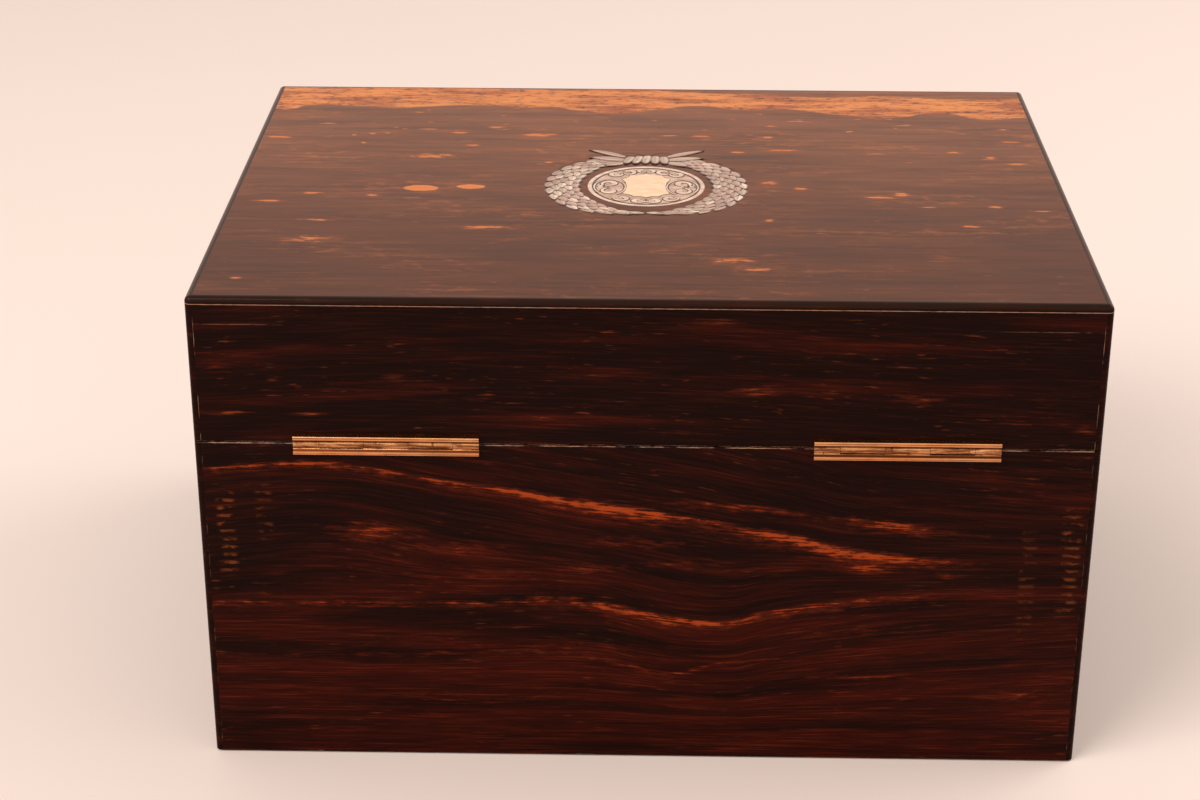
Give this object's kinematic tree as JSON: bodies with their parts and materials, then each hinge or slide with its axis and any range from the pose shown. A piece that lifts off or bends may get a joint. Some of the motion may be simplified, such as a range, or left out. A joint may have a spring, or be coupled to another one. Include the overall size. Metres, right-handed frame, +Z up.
{
  "type": "fitted dressing box",
  "caption": "Veneered rectangular dressing box with a lid on stopped brass hinges, a pearl-inlaid wreath, a mirror in the lid, a fitted tray of glass jars and a sprung drawer.",
  "frame": {"origin": "centre of the baize underside that the box stands on", "axes": "+X to the right seen from the front, +Y from the front to the hinged back, +Z up"},
  "size_m": [0.305, 0.2335, 0.175],
  "materials": {
    "coromandel_veneer": "near-black coromandel with orange and red-brown streaks, French polished to a gloss",
    "ebony_edging": "ebonised edging, rounded and French polished",
    "carcass_mahogany": "plain sawn mahogany, waxed",
    "polished_brass": "polished and lacquered brass, a little tarnished in the grooves",
    "spring_steel": "blued spring steel",
    "silk_velvet": "deep blue silk velvet over thin boards",
    "tooled_leather": "blue morocco leather with a tooled gilt line",
    "green_baize": "green woollen baize",
    "cut_glass": "clear cut glass",
    "silver_plate": "silver plate with an engraved border",
    "mother_of_pearl": "mother-of-pearl in pale pink, lilac and green",
    "engraved_pearl": "pale gold mother-of-pearl, engraved and filled dark",
    "silvered_mirror": "silvered plate glass"
  },
  "bodies": {
    "case": {"baize_underlay": "green_baize", "case_back_board": "carcass_mahogany", "case_back_veneer": "coromandel_veneer", "case_bottom_board": "carcass_mahogany", "case_corner_edging": "ebony_edging", "case_deck_board": "carcass_mahogany", "case_end_veneers": "coromandel_veneer", "case_front_board": "carcass_mahogany", "case_front_veneer": "coromandel_veneer", "case_left_board": "carcass_mahogany", "case_right_board": "carcass_mahogany", "case_screws": "polished_brass", "catch_spring": "spring_steel", "compartment_lining": "silk_velvet", "drawer_spring": "spring_steel", "hinge_case_leaves": "polished_brass", "hinge_pins": "polished_brass", "keyhole_escutcheon": "polished_brass", "lock_case": "polished_brass", "manicure_pad": "silk_velvet", "powder_jar": "cut_glass", "powder_jar_cover": "silver_plate", "scent_bottle_caps": "silver_plate", "scent_bottles": "cut_glass", "toilet_jar_covers": "silver_plate", "toilet_jars": "cut_glass", "tool_blades": "spring_steel", "tool_handles": "mother_of_pearl", "tray_dividers": "silk_velvet", "tray_floor": "silk_velvet", "tray_frame": "silk_velvet"},
    "lid": {"lid_front_board": "carcass_mahogany", "lid_back_board": "carcass_mahogany", "lid_end_boards": "carcass_mahogany", "lid_top_board": "carcass_mahogany", "lid_top_veneer": "coromandel_veneer", "lid_side_veneers": "coromandel_veneer", "lid_back_veneer": "coromandel_veneer", "lid_edging": "ebony_edging", "pearl_wreath": "mother_of_pearl", "engraved_plaque": "engraved_pearl", "hinge_lid_leaves": "polished_brass", "lid_screws": "polished_brass", "link_plate": "polished_brass", "lid_border": "tooled_leather", "mirror_frame": "polished_brass", "mirror_glass": "silvered_mirror"},
    "drawer": {"drawer_front": "carcass_mahogany", "drawer_veneer": "coromandel_veneer", "drawer_sides": "carcass_mahogany", "drawer_back": "carcass_mahogany", "drawer_bottom": "carcass_mahogany", "drawer_lining": "silk_velvet", "drawer_dividers": "silk_velvet", "ring_rolls": "silk_velvet", "drawer_keeper": "polished_brass"},
    "lock_bolt": {"lock_bolt": "polished_brass"},
    "release_button": {"release_button": "polished_brass"},
    "mirror_catch": {"mirror_catch": "polished_brass"}
  },
  "joints": [
    {"name": "lid_hinge", "type": "hinge", "parent": "case", "child": "lid", "pos_m": [0, 0.1161, 0.1225], "axis": [-1, 0, 0], "range_deg": [0, 95]},
    {"name": "drawer_slide", "type": "slide", "parent": "case", "child": "drawer", "axis": [0, -1, 0], "range_m": [0, 0.15]},
    {"name": "release_press", "type": "slide", "parent": "case", "child": "release_button", "axis": [0, 0, -1], "range_m": [0, 0.003], "stiffness_N_per_m": 600, "springref_m": -0.003, "deforming": ["catch_spring"]},
    {"name": "bolt_slide", "type": "slide", "parent": "case", "child": "lock_bolt", "axis": [1, 0, 0], "range_m": [0, 0.005]},
    {"name": "mirror_catch_turn", "type": "hinge", "parent": "lid", "child": "mirror_catch", "pos_m": [0, -0.0765, 0.1529], "axis": [0, 0, 1], "range_deg": [0, 90]}
  ]
}
